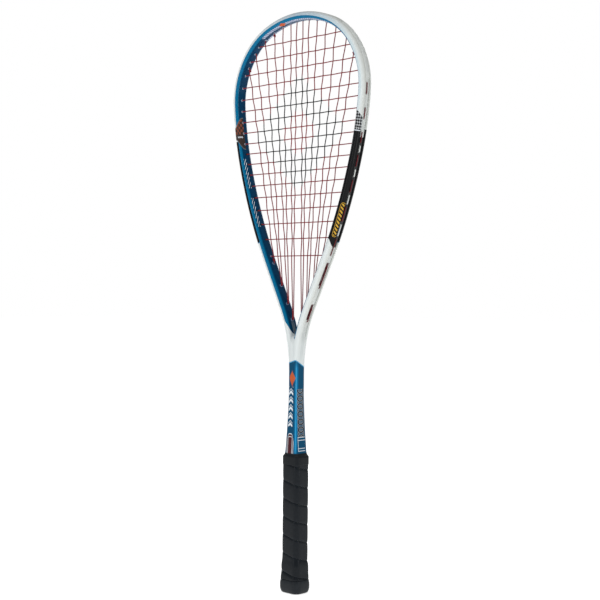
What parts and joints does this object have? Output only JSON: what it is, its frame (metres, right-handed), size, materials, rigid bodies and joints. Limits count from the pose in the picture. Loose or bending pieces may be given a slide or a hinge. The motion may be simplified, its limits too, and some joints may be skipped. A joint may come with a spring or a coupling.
{
  "type": "squash racket",
  "caption": "Teardrop-head squash racket with a hollow moulded frame, open throat, woven string bed, grommet strips and a helically wrapped octagonal grip.",
  "frame": {"origin": "centre of the butt cap's flat end face", "axes": "+Z from the butt to the tip of the head; the string bed lies in the XZ plane; -Y is the face with the stencilled mark; +X is the side whose front face carries the black section"},
  "size_m": [0.215, 0.0282, 0.686],
  "materials": {
    "graphite_blue": "clear-coated paint over moulded carbon: blue, black and white areas",
    "grommet_white": "satin moulded nylon",
    "string_red": "multifilament string with a satin coating, dark red",
    "pallet_foam": "rigid foam",
    "plug_foam": "soft foam",
    "cap_rubber": "matte moulded rubber",
    "staple_steel": "drawn wire",
    "badge_grey": "plain inset disc",
    "grip_black": "cushioned wrap with a soft satin face",
    "tape_black": "stretch vinyl tape"
  },
  "bodies": {
    "root": {"frame": "graphite_blue", "head_bumper": "grommet_white", "right_upper_grommets": "grommet_white", "left_upper_grommets": "grommet_white", "right_lower_grommets": "grommet_white", "left_lower_grommets": "grommet_white", "right_throat_grommets": "grommet_white", "left_throat_grommets": "grommet_white", "main_strings": "string_red", "cross_strings": "string_red", "outer_string_runs": "string_red", "string_knots": "string_red", "front_pallet": "pallet_foam", "back_pallet": "pallet_foam", "shaft_end_plug": "plug_foam", "butt_cap": "cap_rubber", "butt_staples": "staple_steel", "end_badge": "badge_grey", "grip_wrap": "grip_black", "finishing_tape": "tape_black"}
  },
  "joints": []
}
